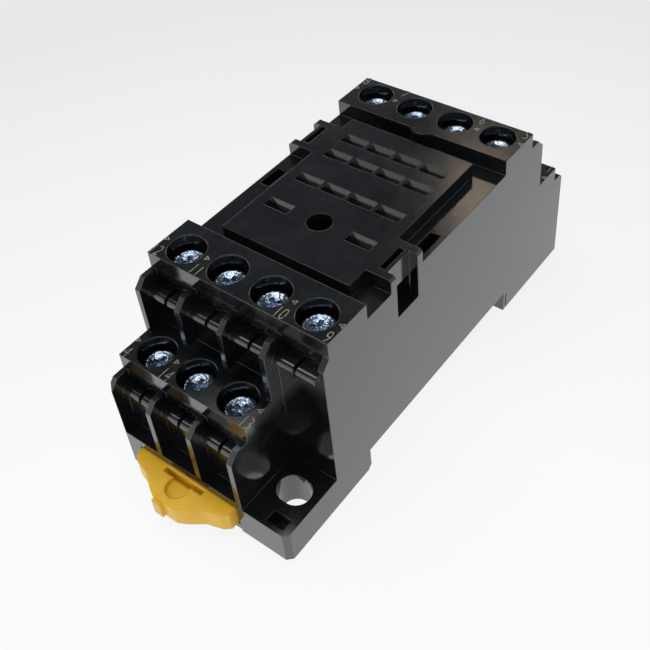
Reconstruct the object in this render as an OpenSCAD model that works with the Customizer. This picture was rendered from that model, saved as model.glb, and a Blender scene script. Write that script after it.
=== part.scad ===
// Screw-terminal socket for a plug-in relay, for a 35 mm rail or two screws.
// Millimetres. The origin lies on the rail seat, midway along and across the moulding:
// X is the width, -Y the end with the slider tab, +Z points to the relay.

/* [Housing envelope] */
// Length of the moulding along Y
body_l = 72; // [71:0.5:76]
// Width of the moulding along X
body_w = 29.4; // [29.2:0.2:32]
// Height of the upper terminal decks above the feet
upper_deck_z = 30.5; // [30:0.5:34]
// Height of the lower terminal decks above the feet
lower_deck_z = 18.85; // [18.4:0.05:19.4]
// Chamfer on the four upright corners
corner_chamfer = 0.75; // [0.2:0.05:1.2]
// Thickness of the outer side walls
side_wall_t = 0.85; // [0.7:0.05:1.2]

/* [Terminal bays] */
// Spacing of the terminals along X
bay_pitch = 7.15; // [7:0.05:7.3]
// Thickness of the fins between terminals
fin_t = 0.85; // [0.6:0.05:1.1]
// Distance of the upper decks' front faces from the middle
upper_front_y = 24.2; // [24:0.1:24.6]
// Distance of the upper decks' back faces from the middle
upper_back_y = 16.6; // [16.4:0.1:16.9]
// Distance of the lower decks' front faces from the middle
lower_front_y = 32.75; // [32.5:0.05:33]
// How far the tops of the fins lie below their deck
fin_drop = 2.55; // [2:0.05:3]
// Reach of the upper fins from the middle
upper_fin_y = 27.6; // [27.3:0.1:28]
// Chamfer on the top corner of each fin
fin_chamfer = 1.4; // [0.8:0.1:1.8]
// Least flat that a chamfer leaves on top of a fin
fin_land = 0.05; // [0.05:0.05:0.2]
// Height of the upper fins' feet above the lower deck
fin_foot_gap = 1.55; // [1:0.05:2]
// Height of the wire rest below its deck
rest_drop = 4.8; // [4.6:0.05:5]
// Thickness of the wire rest's nose
rest_t = 1.1; // [1.1:0.05:1.4]
// Rounding on top of the wire rest's nose
rest_r = 0.8; // [0.4:0.05:0.85]
// Rounding under the wire rest's nose
rest_under_r = 0.2; // [0.1:0.05:0.25]
// Reach of the wire rests out of the upper decks' faces
upper_rest_reach = 2.2; // [1.8:0.1:2.6]
// Reach of the wire rests out of the lower decks' faces
lower_rest_reach = 1.65; // [1.4:0.05:1.9]
// Width of the slit in the middle of a wire rest
rest_slit_w = 0.5; // [0.3:0.1:0.8]
// Depth of the slit in the middle of a wire rest
rest_slit_h = 2; // [1.4:0.1:2.4]
// Height of the wire mouth above the wire rest
mouth_h = 1.15; // [0.9:0.05:1.4]
// Thickness of a deck's front wall
deck_front_t = 0.8; // [0.6:0.1:1]
// Height of the floor in the lower bays above the feet
bay_floor_z = 6.4; // [6.3:0.05:6.8]
// Distance of the wall behind the lower bays' floor from the middle
lower_wall_y = 33.9; // [33.7:0.05:33.95]
// Distance of the wall under the upper wire rests from the middle
upper_wall_y = 25.1; // [25:0.1:25.6]

/* [Screws and clamps] */
// Thread diameter of the terminal screws
screw_d = 3; // [2.8:0.1:3.1]
// Length of a terminal screw under its head
screw_l = 7.5; // [7:0.1:7.8]
// How far a terminal screw can be backed out
screw_lift = 2.8; // [2.4:0.1:3]
// Diameter of a terminal screw's head
head_d = 4.5; // [4.2:0.1:4.8]
// Height of a terminal screw's head
head_h = 2.4; // [1.8:0.1:2.5]
// Rounding of the head's rim
head_r = 0.5; // [0.2:0.1:0.8]
// Span of the cross recess
cross_span = 2.8; // [2.2:0.1:3]
// Width of the cross recess
cross_w = 0.75; // [0.5:0.05:0.9]
// Depth of the cross recess
cross_h = 1.5; // [1:0.1:1.6]
// Distance of the upper screws from the middle
upper_screw_y = 21; // [20.9:0.05:21.1]
// Distance of the lower screws from the middle
lower_screw_y = 29.6; // [29.5:0.05:29.7]
// Diameter of the wells over the screws
well_d = 5.3; // [5.1:0.1:5.6]
// Chamfer on the rims of the wells
well_chamfer = 0.1; // [0.05:0.05:0.35]
// Width of a clamp washer along X
clamp_w = 5; // [4.8:0.1:5.2]
// Depth of a clamp washer along Y
clamp_l = 4.5; // [4.3:0.1:4.6]
// Thickness of a clamp washer
clamp_t = 0.65; // [0.5:0.05:0.8]
// Height of the clamp washer's raised middle
clamp_raise_h = 0.55; // [0.4:0.05:0.7]
// Diameter of the clamp washer's raised middle
clamp_raise_d = 4.1; // [3.9:0.1:4.3]
// Height of the clamp washer's turned-down sides
clamp_lip_h = 0.6; // [0.4:0.05:0.7]
// Thickness of the clamp washer's turned-down sides
clamp_lip_t = 0.4; // [0.3:0.05:0.5]

/* [Contacts] */
// Depth of the screw plates below their deck
plate_drop = 5.6; // [5.5:0.05:5.8]
// Thickness of the screw plates and straps
strap_t = 0.8; // [0.7:0.05:0.9]
// Width of a screw plate along X
plate_w = 3.9; // [3.6:0.05:3.95]
// Height of the threaded collar under a screw plate
collar_h = 1.5; // [1:0.1:2]
// Outer diameter of the threaded collar
collar_d = 4.1; // [3.9:0.1:4.3]
// Width of a strap on its way to its fork
strap_w = 1.8; // [1.2:0.1:1.9]
// Width of the straps that pass between forks
slim_strap_w = 0.75; // [0.5:0.05:0.8]
// Height of the upper contacts' straps above the feet
upper_strap_z = 18.4; // [18.2:0.1:19]
// Distance of the upper contacts' risers from the middle
riser_y = 17.1; // [17:0.05:17.2]
// Width of a fork's leaves along X
fork_w = 3; // [2.6:0.1:3.1]
// Thickness of a fork's leaf
leaf_t = 0.5; // [0.3:0.05:0.55]
// Gap between a fork's leaves for the relay's blade
blade_gap = 0.5; // [0.4:0.05:0.6]
// Height of the forks' tips above the feet
fork_top_z = 24; // [23:0.1:25]
// Height of the spread tips of a fork
fork_tip_h = 1.2; // [0.8:0.1:1.6]
// How far each tip of a fork is spread
fork_spread = 0.3; // [0.1:0.05:0.4]

/* [Relay seat] */
// Height of the side strips beside the relay seat above the feet
strip_z = 28; // [27.5:0.1:28.4]
// Height of the relay seat above the feet
seat_z = 30.2; // [29.8:0.1:30.4]
// Width of the relay seat along X
seat_w = 21; // [20.5:0.1:21.4]
// Shift of the relay seat and its slots to +X
seat_shift_x = 0.35; // [0:0.05:0.5]
// Near edge of the relay seat
seat_near_y = -14.9; // [-15.2:0.1:-14.5]
// Far edge of the relay seat
seat_far_y = 14; // [13.6:0.1:14.4]
// Spacing of the blade slots along X
slot_pitch = 4.55; // [4.4:0.05:4.6]
// Length of a blade slot along X
slot_l = 4; // [3.6:0.1:4.1]
// Width of a blade slot along Y
slot_w = 1.1; // [0.9:0.05:1.2]
// Width of the lead-in behind each blade slot
lead_in_w = 0.8; // [0.5:0.05:1]
// Depth of the lead-in behind each blade slot
lead_in_h = 1.2; // [0.8:0.1:1.8]
// Blade rows along Y: first changeover contacts
row_1_y = 9.3; // [9.1:0.1:9.5]
// Second changeover contacts
row_2_y = 5.15; // [5:0.05:5.3]
// Common contacts
row_3_y = -1.4; // [-1.6:0.1:-1.2]
// Coil contacts
row_4_y = -7.9; // [-8.1:0.1:-7.7]
// Diameter of the round centre hole in the relay seat
centre_hole_d = 3.6; // [3.2:0.1:3.8]
// Place of the round centre hole along Y
centre_hole_y = -7.35; // [-7.5:0.05:-7.2]
// Diameter of the round boss on the far deck's back face
boss_d = 4; // [3.6:0.1:4.4]
// Place of the round boss along Y
boss_y = 17.7; // [17.5:0.1:18]
// Place of the round boss along X
boss_x = 0.3; // [0:0.1:0.6]

/* [Spring clip blocks] */
// Middle of a clip block from the middle of the part
clip_y = 8; // [7.8:0.1:8.2]
// Length of a clip block along Y
clip_l = 7; // [6.8:0.1:7.2]
// Length of the clip slot along Y
clip_slot_l = 4.4; // [4:0.1:4.6]
// Length of the clip recess along Y
clip_recess_l = 4.7; // [4.6:0.1:5.2]
// Distance of the clip slot's inner side from the middle
clip_slot_x = 12; // [11.95:0.05:12.1]
// Width of the clip slot along X
clip_slot_w = 0.9; // [0.8:0.05:1]
// Thickness of the bar between clip slot and recess
clip_bar_t = 0.5; // [0.4:0.05:0.6]
// Height of the window's sill above the feet
clip_sill_z = 22.8; // [22.5:0.1:23.2]
// Height of the bar's lower edge above the feet
clip_bar_z = 26.3; // [26:0.1:26.6]
// Chamfer on the outer top edge of a clip block
clip_chamfer = 0.4; // [0.2:0.05:0.6]
// Width of the tool hole in a side strip
tool_hole_w = 1.6; // [1.4:0.1:1.7]
// Length of the tool hole in a side strip
tool_hole_l = 4; // [3.6:0.1:4.4]
// Depth of the tool hole
tool_hole_h = 5; // [3:0.5:6]
// Middle of the tool holes along Y
tool_hole_y = -1.1; // [-1.4:0.1:-0.9]
// Distance of the tool holes' outer side from the middle
tool_hole_x = 13.95; // [13.9:0.05:14]

/* [Mounting ears] */
// Height of an ear's floor above the feet
ear_z = 5.5; // [5:0.1:5.6]
// Distance of an ear's inner wall from the middle
ear_x = 7.35; // [7.3:0.05:7.5]
// Distance of the wall behind an ear from the middle
ear_back_y = 25.5; // [25.4:0.1:25.7]
// Width of a mounting hole along Y
ear_hole_w = 4.2; // [4:0.1:4.5]
// Length of a mounting hole along X
ear_hole_l = 5; // [4.7:0.1:5.1]
// Distance of the mounting holes from the middle along X
ear_hole_x = 11; // [10.9:0.1:11.1]
// Distance of the mounting holes from the middle along Y
ear_hole_y = 29.8; // [29.5:0.1:30]
// Width of the small pocket in an ear
ear_pocket_w = 2.7; // [2.4:0.1:3]
// Length of the small pocket in an ear along Y
ear_pocket_l = 1.7; // [1.4:0.1:1.8]
// Depth of the small pocket in an ear
ear_pocket_h = 2; // [1:0.1:3]
// Distance of the small pocket from the middle along X
ear_pocket_x = 12.15; // [11.9:0.05:12.2]
// Distance of the small pocket from the middle along Y
ear_pocket_y = 34.4; // [34.3:0.1:34.7]

/* [Rail seat] */
// Width of the rail channel along Y
channel_w = 36; // [35.8:0.1:36.4]
// Depth of the rail channel above the feet
channel_h = 3.8; // [3.7:0.1:4]
// Far wall of the rail channel from the middle
channel_far_y = 17.8; // [17.7:0.1:18]
// Lead-in chamfer on the near foot beside the channel
foot_chamfer = 0.7; // [0.3:0.1:1]
// Width of the fine slits in the far foot's sides
foot_slit_w = 0.25; // [0.2:0.05:0.4]
// Depth of the slits into the far foot
foot_slit_depth = 0.8; // [0.5:0.1:1.2]
// Height of the slits above the feet
foot_slit_h = 3.2; // [2.4:0.1:3.4]
// Wall between a slit and the channel
foot_slit_wall = 0.6; // [0.4:0.05:0.8]
// Thickness of the rail's flange
rail_t = 1; // [0.9:0.1:1.1]
// Thickness of the fixed hook
hook_t = 1.2; // [1:0.1:1.4]
// Reach of the fixed hook out of the channel's wall
hook_reach = 1.1; // [0.9:0.1:1.2]
// Width of the fixed hook along X
hook_w = 18; // [14:0.5:20]
// Thickness of the base cover
cover_t = 1.5; // [1.2:0.1:1.8]
// Width of the ledge that the base cover lies on
cover_ledge = 0.5; // [0.3:0.05:0.55]
// Width of the contact chamber along X
chamber_w = 22.8; // [22.6:0.1:23]
// Length of the contact chamber along Y
chamber_l = 31.2; // [31:0.1:31.4]
// Thickness of the moulding over the contact chamber
chamber_roof_t = 2; // [1.8:0.1:2.2]

/* [Slider] */
// Middle of the slider along X
slider_x = -2.5; // [-2.6:0.05:-2.4]
// Width of the slider
slider_w = 17.2; // [16.8:0.1:17.4]
// Bottom of the slider above the feet
slider_bottom_z = 1.7; // [1.65:0.05:1.8]
// Thickness of the slider
slider_t = 3.2; // [3:0.05:3.25]
// Travel of the slider when it is pulled out
slider_travel = 3; // [2.6:0.1:3.2]
// Reach of the slider's nose into the channel
nose_reach = 1.9; // [1.6:0.1:2]
// Width of the slider's nose
nose_w = 12; // [8:0.5:12.4]
// Thickness of the slider's nose
nose_t = 1; // [0.9:0.05:1.05]
// Slope at the tips of nose and hook
nose_slope = 0.6; // [0.3:0.1:0.7]
// Reach of the slider's tab out of the moulding
tab_reach = 4.65; // [4.3:0.05:5]
// Width of the tab's tip
tab_tip_w = 3.6; // [3:0.1:4]
// Width of the tab where its tip begins to round
tab_round_w = 6.4; // [5.8:0.1:7]
// Fall of the tab's rounded tip
tab_round_l = 0.65; // [0.4:0.05:0.9]
// Width of the tab's waist
tab_waist_w = 10.4; // [9.6:0.1:11]
// Reach of the tab's waist
tab_waist_reach = 2.6; // [2.4:0.05:2.8]
// Width of the tab's shoulders
tab_shoulder_w = 15.2; // [14.6:0.1:15.6]
// Reach of the tab's shoulders
tab_shoulder_reach = 1.9; // [1.7:0.05:2.1]
// Width of the tab at the end of its straight sides
tab_side_w = 17; // [16.6:0.1:17.2]
// Reach of the tab's straight sides
tab_side_reach = 1.2; // [0.9:0.05:1.4]
// Width of the screwdriver slot in the tab
tab_slot_w = 6.9; // [6.4:0.1:7.4]
// Length of the screwdriver slot along Y
tab_slot_l = 0.7; // [0.6:0.05:0.9]
// Depth of the screwdriver slot
tab_slot_h = 2; // [1:0.1:2.4]
// Diameter of the round recess that meets the screwdriver slot
tab_recess_d = 3.4; // [3:0.1:3.8]
// Depth of the round recess
tab_recess_h = 0.6; // [0.3:0.05:0.8]
// Place of the round recess out of the moulding
tab_recess_reach = 1.85; // [1.6:0.05:2.1]
// Width of the gate stub on the tab's tip
gate_w = 1.5; // [1:0.1:1.7]
// Reach of the gate stub out of the tab's tip
gate_reach = 0.45; // [0.2:0.05:0.6]
// Place of the gate stub's middle from the slider's middle
gate_x = -1.05; // [-1.1:0.05:-0.9]
// Depth of the gate stub's top below the tab's top
gate_drop = 0.4; // [0.2:0.1:0.8]
// Width of the moulding's lips that carry the slider
lip_w = 1.5; // [1.2:0.1:1.8]
// Thickness of the moulding's lips that carry the slider
lip_t = 1.1; // [0.9:0.05:1.2]
// Width of the slider's spring arms
arm_w = 1.1; // [0.9:0.1:1.2]
// Width of the slots that free the spring arms
arm_slot_w = 1; // [0.8:0.1:1.2]
// Length of the spring arms
arm_l = 9; // [8:0.5:10]
// Reach of the catches on the spring arms
catch_reach = 0.5; // [0.4:0.05:0.6]
// Length of the catches on the spring arms
catch_l = 1.5; // [1.2:0.1:1.8]
// Thickness of the moulding's stop behind the catches
stop_t = 0.6; // [0.5:0.05:0.8]

/* [Clearances] */
// Between a screw and its thread, on the radius
thread_gap = 0.05; // [0.03:0.01:0.08]
// Between a screw and its clamp washer, on the radius
washer_gap = 0.1; // [0.08:0.01:0.15]
// Between pieces that lie on each other
seat_gap = 0.05; // [0.03:0.01:0.06]
// Between the clamp washer and its chamber along Y
clamp_gap = 0.15; // [0.12:0.01:0.18]
// Between loose parts that pass each other
free_gap = 0.3; // [0.25:0.05:0.35]
// Between the slider and its guides
slider_gap = 0.2; // [0.15:0.01:0.25]

/* [Hidden] */
$fn = 48;
big = 100;
mid = 1;
cut = 0.25;
UPPER = 1;
LOWER = 0;
NEAR = 1;
FAR = -1;
half_w = body_w / 2;
half_l = body_l / 2;
fin_x = half_w - side_wall_t;
chamber_top_z = strip_z - chamber_roof_t;
chamber_bottom_z = channel_h + cover_t;
channel_near_y = channel_w - channel_far_y;
rail_under_z = channel_h - rail_t - slider_gap / 2;
pit_w = clamp_w + 2 * free_gap;
pit_l = clamp_l + 2 * clamp_gap;
pit_h = strap_t + seat_gap + clamp_t + clamp_raise_h + screw_lift + clamp_gap;
plate_l = pit_l - 2 * seat_gap;
fork_l = 2 * leaf_t + blade_gap;
outer_strap_x = chamber_w / 2 - free_gap - strap_w / 2;
slider_top_z = slider_bottom_z + slider_t;
slider_back_y = -channel_near_y - slider_gap;

// deck, end, bay (0 to 3 from -X), place of the strap in X, its width, fork column, fork row;
// the terminals stand in the order of their numbers, from 1 to 14
TERMINALS = [
    [LOWER, FAR, 3, outer_strap_x, strap_w, 3, row_1_y],
    [LOWER, FAR, 2, bay_x(2), strap_w, 2, row_1_y],
    [LOWER, FAR, 1, bay_x(1), strap_w, 1, row_1_y],
    [LOWER, NEAR, 0, -outer_strap_x, strap_w, 0, row_1_y],
    [UPPER, FAR, 3, outer_strap_x, strap_w, 3, row_2_y],
    [UPPER, FAR, 2, between_columns(2), slim_strap_w, 2, row_2_y],
    [UPPER, FAR, 1, between_columns(0), slim_strap_w, 1, row_2_y],
    [UPPER, FAR, 0, -outer_strap_x, strap_w, 0, row_2_y],
    [UPPER, NEAR, 3, outer_strap_x, strap_w, 3, row_3_y],
    [UPPER, NEAR, 2, bay_x(2), strap_w, 2, row_3_y],
    [UPPER, NEAR, 1, bay_x(1), strap_w, 1, row_3_y],
    [UPPER, NEAR, 0, -outer_strap_x, strap_w, 0, row_3_y],
    [LOWER, NEAR, 2, bay_x(2), strap_w, 3, row_4_y],
    [LOWER, NEAR, 1, bay_x(1), strap_w, 0, row_4_y],
];

function bay_x(bay) = (bay - 1.5) * bay_pitch;
function column_x(column) = seat_shift_x + (column - 1.5) * slot_pitch;
function between_columns(column) = (column_x(column) + column_x(column + 1)) / 2;
function deck_z(deck) = deck == UPPER ? upper_deck_z : lower_deck_z;
function screw_y(deck) = deck == UPPER ? upper_screw_y : lower_screw_y;
function deck_front_y(deck) = deck == UPPER ? upper_front_y : lower_front_y;
function rest_reach(deck) = deck == UPPER ? upper_rest_reach : lower_rest_reach;
function plate_z(deck) = deck_z(deck) - plate_drop;
function head_z(deck) = plate_z(deck) + 2 * seat_gap + clamp_t + clamp_raise_h;

// Sections lie in [y, z] and show the near half, from the middle of the part out to -Y.

// A wire rest that stands out of the wall at wall_y, and the wire mouth and deck edge above it
function rest_and_mouth(deck, wall_y) =
    let (nose_y = deck_front_y(deck) + rest_reach(deck))
    let (rest_z = deck_z(deck) - rest_drop)
    let (front_y = deck_front_y(deck))
    let (under_r = rest_under_r)
    concat(
        [[-wall_y, rest_z - rest_t]],
        [for (a = [0:30:90]) [-nose_y + under_r * (1 - sin(a)), rest_z - rest_t + under_r * (1 - cos(a))]],
        [for (a = [0:11.25:90]) [-nose_y + rest_r * (1 - cos(a)), rest_z - rest_r * (1 - sin(a))]],
        [[-front_y + deck_front_t, rest_z], [-front_y + deck_front_t, rest_z + mouth_h]],
        [[-front_y, rest_z + mouth_h], [-front_y, deck_z(deck)]]);

// The chamfered top of a fin that reaches out to fin_y, and the deck edge above it
function fin_edge(deck, fin_y) =
    let (front_y = deck_front_y(deck))
    let (top_z = deck_z(deck) - fin_drop)
    let (c = min(fin_chamfer, fin_y - front_y - fin_land))
    [[-fin_y, top_z - c], [-fin_y + c, top_z], [-front_y, top_z], [-front_y, deck_z(deck)]];

// Every section ends with the back of the upper deck and the floor between the decks
function section_end() = [[-upper_back_y, upper_deck_z], [-upper_back_y, strip_z], [mid, strip_z], [mid, 0]];

function bay_section() = concat(
    [[-half_l, 0], [-half_l, bay_floor_z], [-lower_wall_y, bay_floor_z]],
    rest_and_mouth(LOWER, lower_wall_y),
    [[-upper_wall_y, lower_deck_z]],
    rest_and_mouth(UPPER, upper_wall_y),
    section_end());

function ear_section() = concat(
    [[-half_l, 0], [-half_l, ear_z], [-ear_back_y, ear_z]],
    rest_and_mouth(UPPER, ear_back_y),
    section_end());

function ear_wall_section() = concat(
    [[-half_l, 0], [-half_l, ear_z], [-ear_back_y, ear_z]],
    fin_edge(UPPER, ear_back_y),
    section_end());

function outer_fin_section() = concat(
    [[-half_l, 0]],
    fin_edge(LOWER, half_l),
    [[-upper_fin_y, lower_deck_z]],
    fin_edge(UPPER, upper_fin_y),
    section_end());

// The inner fins leave a gap over the lower deck
function inner_fin_section() = concat(
    [[-half_l, 0]],
    fin_edge(LOWER, half_l),
    [[-upper_wall_y, lower_deck_z], [-upper_wall_y, lower_deck_z + fin_foot_gap]],
    [[-upper_fin_y, lower_deck_z + fin_foot_gap]],
    fin_edge(UPPER, upper_fin_y),
    section_end());

// A box between two opposite corners
module box(from, to) {
    translate(from) cube(to - from);
}

// A section in [y, z], drawn out along X
module slice(x0, x1, points) {
    translate([x0, 0, 0])
        rotate([90, 0, 90])
            linear_extrude(x1 - x0)
                polygon(points);
}

// A section in [x, z], drawn out along Y
module run(y0, y1, points) {
    translate([0, y1, 0])
        rotate([90, 0, 0])
            linear_extrude(y1 - y0)
                polygon(points);
}

// What is drawn at the near end is turned half round for the far end
module at_end(end) {
    rotate([0, 0, end == FAR ? 180 : 0]) children();
}

// Sizes above count from the feet, and the origin lies on the rail seat
module from_feet() {
    translate([0, 0, -channel_h]) children();
}

// ---- housing ----

module housing_end() {
    ear_fin_x = ear_x - fin_t / 2;
    slice(-half_w, ear_fin_x, bay_section());
    slice(ear_fin_x, fin_x, ear_section());
    slice(fin_x, half_w, ear_wall_section());
    slice(-half_w, -fin_x, outer_fin_section());
    slice(ear_x - fin_t, ear_x, outer_fin_section());
    for (bay = [0, 1]) {
        x = bay_x(bay) + bay_pitch / 2;
        slice(x - fin_t / 2, x + fin_t / 2, inner_fin_section());
    }
}

// Upright prism with the moulding's outline
module outline() {
    c = corner_chamfer;
    corner = [half_w, half_l];
    linear_extrude(big)
        polygon([
            [c - corner.x, -corner.y], [corner.x - c, -corner.y],
            [corner.x, c - corner.y], [corner.x, corner.y - c],
            [corner.x - c, corner.y], [c - corner.x, corner.y],
            [-corner.x, corner.y - c], [-corner.x, c - corner.y]]);
}

// Well, pit for plate and clamp, thread room and strap way of one terminal
module terminal_room(n) {
    t = TERMINALS[n - 1];
    deck = t[0];
    x = t[1] * bay_x(t[2]);
    y = -screw_y(deck);
    floor_z = plate_z(deck) - strap_t;
    at_end(t[1]) {
        translate([x, y, floor_z]) cylinder(d = well_d, h = big);
        translate([x, y, deck_z(deck) - well_chamfer])
            cylinder(d1 = well_d, d2 = well_d + 4 * well_chamfer, h = 2 * well_chamfer);
        box([x - pit_w / 2, y - pit_l / 2, floor_z], [x + pit_w / 2, y + pit_l / 2, floor_z + pit_h]);
        translate([x, y, floor_z - collar_h - seat_gap])
            cylinder(d = collar_d + 2 * seat_gap, h = collar_h + strap_t);
        translate([x, y, head_z(deck) - screw_l - free_gap])
            cylinder(d = screw_d + 2 * free_gap, h = screw_l);
        strap_way(deck, t[1] * t[3], t[4] / 2 + free_gap);
        rest_slit(deck, x);
    }
}

// The way of a strap from its pit into the contact chamber
module strap_way(deck, x, half) {
    pit_y = pit_l / 2 - screw_y(deck) - seat_gap;
    bottom_z = plate_z(deck) - strap_t - free_gap;
    top_z = plate_z(deck) + free_gap;
    chamber_y = free_gap - chamber_l / 2;
    if (deck == UPPER) {
        box([x - half, pit_y, bottom_z], [x + half, free_gap - riser_y, top_z]);
        box([x - half, -riser_y - strap_t - free_gap, upper_strap_z - free_gap],
            [x + half, free_gap - riser_y, top_z]);
        box([x - half, -riser_y - strap_t - free_gap, upper_strap_z - free_gap],
            [x + half, chamber_y, upper_strap_z + strap_t + free_gap]);
    } else {
        box([x - half, pit_y, bottom_z], [x + half, chamber_y, top_z]);
    }
}

// The slit in the middle of a wire rest
module rest_slit(deck, x) {
    rest_z = deck_z(deck) - rest_drop;
    box([x - rest_slit_w / 2, -half_l - mid, rest_z - rest_slit_h],
        [x + rest_slit_w / 2, deck_front_t / 2 - deck_front_y(deck), rest_z + cut]);
}

module seat_plate() {
    x = seat_shift_x;
    box([x - seat_w / 2, seat_near_y, chamber_top_z], [x + seat_w / 2, seat_far_y, seat_z]);
    block_x = seat_w / 2 - seat_shift_x - mid;
    for (end = [NEAR, FAR]) {
        at_end(end)
            run(-clip_y - clip_l / 2, -clip_y + clip_l / 2, [
                [block_x, chamber_top_z], [half_w, chamber_top_z], [half_w, seat_z - clip_chamfer],
                [half_w - clip_chamfer, seat_z], [block_x, seat_z]]);
    }
    translate([boss_x, boss_y, strip_z - mid])
        cylinder(d = boss_d, h = upper_deck_z - strip_z + mid);
}

// Slot with a sloped lead-in on its far side
module blade_slot(n) {
    t = TERMINALS[n - 1];
    x = column_x(t[5]) - slot_l / 2;
    y = t[6];
    box([x, y - slot_w / 2, chamber_top_z - mid], [x + slot_l, y + slot_w / 2, big]);
    slice(x, x + slot_l, [
        [y, seat_z - lead_in_h], [y + slot_w / 2, seat_z - lead_in_h],
        [y + slot_w / 2 + lead_in_w, seat_z], [y + slot_w / 2 + lead_in_w, seat_z + mid], [y, seat_z + mid]]);
}

// Slot, window and outer recess for one leg of the relay's hold-down spring
module clip_room() {
    bar_x = clip_slot_x + clip_slot_w;
    recess_x = bar_x + clip_bar_t;
    box([clip_slot_x, -clip_y - clip_slot_l / 2, clip_sill_z], [bar_x, -clip_y + clip_slot_l / 2, big]);
    box([bar_x - cut, -clip_y - clip_slot_l / 2, clip_sill_z], [big, -clip_y + clip_slot_l / 2, clip_bar_z]);
    box([recess_x, -clip_y - clip_recess_l / 2, clip_sill_z], [big, -clip_y + clip_recess_l / 2, big]);
}

module ear_room() {
    for (s = [-1, 1]) {
        translate([ear_hole_x + s * (ear_hole_l - ear_hole_w) / 2, -ear_hole_y, -mid])
            cylinder(d = ear_hole_w, h = ear_z + 2 * mid);
    }
    box([ear_hole_x - (ear_hole_l - ear_hole_w) / 2, -ear_hole_y - ear_hole_w / 2, -mid],
        [ear_hole_x + (ear_hole_l - ear_hole_w) / 2, -ear_hole_y + ear_hole_w / 2, ear_z + mid]);
    box([ear_pocket_x - ear_pocket_w / 2, -ear_pocket_y - ear_pocket_l / 2, ear_z - ear_pocket_h],
        [ear_pocket_x + ear_pocket_w / 2, -ear_pocket_y + ear_pocket_l / 2, ear_z + mid]);
}

// Room for the slider between its lips, with the long notches that its catches run in
module slider_room() {
    half = slider_w / 2 + free_gap;
    back_y = mid - channel_near_y;
    lip_z = slider_bottom_z - slider_gap;
    notch_y = slider_back_y - stop_t;
    translate([slider_x, 0, 0]) {
        box([-half, -half_l - mid, lip_z], [half, back_y, slider_top_z + slider_gap]);
        box([lip_w - half, -half_l - mid, -mid], [half - lip_w, back_y, lip_z + mid]);
        box([-half, -half_l - mid, -mid], [half, back_y, lip_z - lip_t]);
        box([-half - catch_reach, notch_y - catch_l - slider_travel - 2 * free_gap, lip_z],
            [half + catch_reach, notch_y, slider_top_z + slider_gap]);
    }
}

module rail_room() {
    c = foot_chamfer;
    near_y = -channel_near_y;
    slit_y = channel_far_y + foot_slit_wall;
    slice(-half_w - mid, half_w + mid, [
        [near_y - c - cut, -cut], [near_y + cut, -cut], [near_y + cut, c + cut]]);
    for (s = [-1, 1]) {
        x = s * (half_w - foot_slit_depth / 2 + cut / 2);
        box([x - (foot_slit_depth + cut) / 2, slit_y, -mid],
            [x + (foot_slit_depth + cut) / 2, slit_y + foot_slit_w, foot_slit_h]);
    }
    box([-half_w - mid, -channel_near_y, -mid], [half_w + mid, channel_far_y, channel_h]);
    ledge = [chamber_w / 2 + cover_ledge, chamber_l / 2 + cover_ledge, 0];
    box([-ledge.x, -ledge.y, channel_h - mid], [ledge.x, ledge.y, chamber_bottom_z]);
    box([-chamber_w / 2, -chamber_l / 2, channel_h], [chamber_w / 2, chamber_l / 2, chamber_top_z]);
}

// Hook that holds the far edge of the rail
module hook() {
    tip_y = channel_far_y - hook_reach;
    back_y = channel_far_y + mid;
    slice(-hook_w / 2, hook_w / 2, [
        [back_y, rail_under_z - hook_t], [tip_y + nose_slope, rail_under_z - hook_t],
        [tip_y, rail_under_z - hook_t + nose_slope], [tip_y, rail_under_z], [back_y, rail_under_z]]);
}

module housing() {
    color("#1c1b1b") from_feet() {
        difference() {
            intersection() {
                union() {
                    at_end(NEAR) housing_end();
                    at_end(FAR) housing_end();
                    seat_plate();
                }
                outline();
            }
            rail_room();
            slider_room();
            for (n = [1:14]) {
                terminal_room(n);
                blade_slot(n);
            }
            for (end = [NEAR, FAR]) {
                at_end(end) clip_room();
                at_end(end) ear_room();
            }
            for (s = [-1, 1]) {
                x = s * (tool_hole_x - tool_hole_w / 2);
                box([x - tool_hole_w / 2, tool_hole_y - tool_hole_l / 2, strip_z - tool_hole_h],
                    [x + tool_hole_w / 2, tool_hole_y + tool_hole_l / 2, big]);
            }
            translate([seat_shift_x, centre_hole_y, chamber_top_z - mid])
                cylinder(d = centre_hole_d, h = big);
        }
        hook();
    }
}

// ---- base cover ----

module base_cover() {
    x = chamber_w / 2 + cover_ledge - seat_gap;
    y = chamber_l / 2 + cover_ledge - seat_gap;
    color("#242222") from_feet() box([-x, -y, channel_h], [x, y, channel_h + cover_t]);
}

// ---- slider ----

// Outline of the slider in [x, y] about its own middle, right half from back to tip
function slider_side() = [
    [slider_w / 2, slider_back_y], [slider_w / 2, -half_l],
    [tab_side_w / 2, -half_l - tab_side_reach],
    [tab_shoulder_w / 2, -half_l - tab_shoulder_reach],
    [tab_waist_w / 2, -half_l - tab_waist_reach],
    [tab_round_w / 2, -half_l - tab_reach + tab_round_l],
    [tab_tip_w / 2, -half_l - tab_reach]];

module slider_blank() {
    side = slider_side();
    translate([0, 0, slider_bottom_z])
        linear_extrude(slider_t)
            polygon(concat(side, [for (i = [len(side) - 1:-1:0]) [-side[i].x, side[i].y]]));
}

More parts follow.
